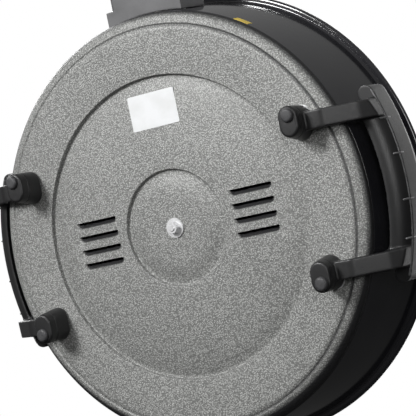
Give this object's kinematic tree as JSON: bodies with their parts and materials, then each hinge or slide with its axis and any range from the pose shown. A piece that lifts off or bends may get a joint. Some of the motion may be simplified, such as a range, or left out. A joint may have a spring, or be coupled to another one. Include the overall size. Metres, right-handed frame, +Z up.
{
  "type": "electric pizza pan",
  "caption": "Round shallow electric pan on footed side grips, with a vented bottom cover, a sheathed heating ring, a plug-in dial control and a glass lid.",
  "frame": {"origin": "on the pan's axis, at the height of the surface that the foot pads stand on", "axes": "+Z up along the pan axis, +X towards the right grip, -Y towards the plug-in control"},
  "size_m": [0.444, 0.55, 0.2118],
  "materials": {
    "band_steel": "polished rolled band",
    "black_phenolic": "semi-matt moulded phenolic",
    "brass_contacts": "plain brass",
    "bright_steel": "zinc and nickel plated steel",
    "ceramic_white": "matt fired ceramic",
    "control_black": "satin black moulding",
    "cover_hammer": "grey hammertone paint on pressed steel",
    "dial_plastic": "satin black with pale numbers",
    "element_steel": "heat-stained sheath",
    "foot_rubber": "satin silicone rubber",
    "guard_plastic": "fine matt moulding",
    "label_white": "blank satin label",
    "lamp_red": "clear red lens",
    "lid_glass": "clear tempered glass",
    "pan_enamel": "gloss black enamel over die-cast aluminium",
    "patch_yellow": "blank satin patch",
    "seal_silicone": "translucent silicone"
  },
  "bodies": {
    "pan": {"bottom_cover": "cover_hammer", "caution_patch": "patch_yellow", "centre_nut": "bright_steel", "centre_stud": "bright_steel", "centre_washer": "bright_steel", "earth_contact": "brass_contacts", "element_clamp_screws": "bright_steel", "element_clamps": "element_steel", "element_end_seals": "ceramic_white", "foot_cap_back_left": "black_phenolic", "foot_cap_back_right": "black_phenolic", "foot_cap_front_left": "black_phenolic", "foot_cap_front_right": "black_phenolic", "foot_pad_back_left": "foot_rubber", "foot_pad_back_right": "foot_rubber", "foot_pad_front_left": "foot_rubber", "foot_pad_front_right": "foot_rubber", "grip_cover_left": "black_phenolic", "grip_cover_right": "black_phenolic", "handle_left": "black_phenolic", "handle_right": "black_phenolic", "handle_screws": "bright_steel", "handle_spacers": "bright_steel", "heating_element": "element_steel", "pan_body": "pan_enamel", "probe_sleeve": "element_steel", "rating_label": "label_white", "socket_guard": "guard_plastic", "socket_guard_screws": "bright_steel", "terminal_bushes": "ceramic_white", "terminal_pins": "brass_contacts"},
    "control": {"control_lower_housing": "control_black", "control_upper_housing": "control_black", "control_housing_screws": "bright_steel", "contact_sleeves": "brass_contacts", "probe_rod": "element_steel", "switch_block": "ceramic_white", "pilot_lamp_lens": "lamp_red", "cord_inlet_collar": "control_black"},
    "dial": {"temperature_dial": "dial_plastic", "dial_shaft": "bright_steel"},
    "lid": {"lid_glass": "lid_glass", "lid_rim_band": "band_steel", "knob_base": "black_phenolic", "lid_knob": "black_phenolic", "knob_seal": "seal_silicone", "knob_screw": "bright_steel", "steam_vent_ring": "band_steel"}
  },
  "joints": [
    {"name": "lid_lift", "type": "slide", "parent": "pan", "child": "lid", "axis": [0, 0, 1], "range_m": [0, 0.12]},
    {"name": "control_pull", "type": "slide", "parent": "pan", "child": "control", "axis": [0, -1, 0], "range_m": [0, 0.13]},
    {"name": "dial_turn", "type": "hinge", "parent": "control", "child": "dial", "pos_m": [0, -0.29, 0.095], "axis": [0, 0, 1], "range_deg": [-240, 0]}
  ]
}
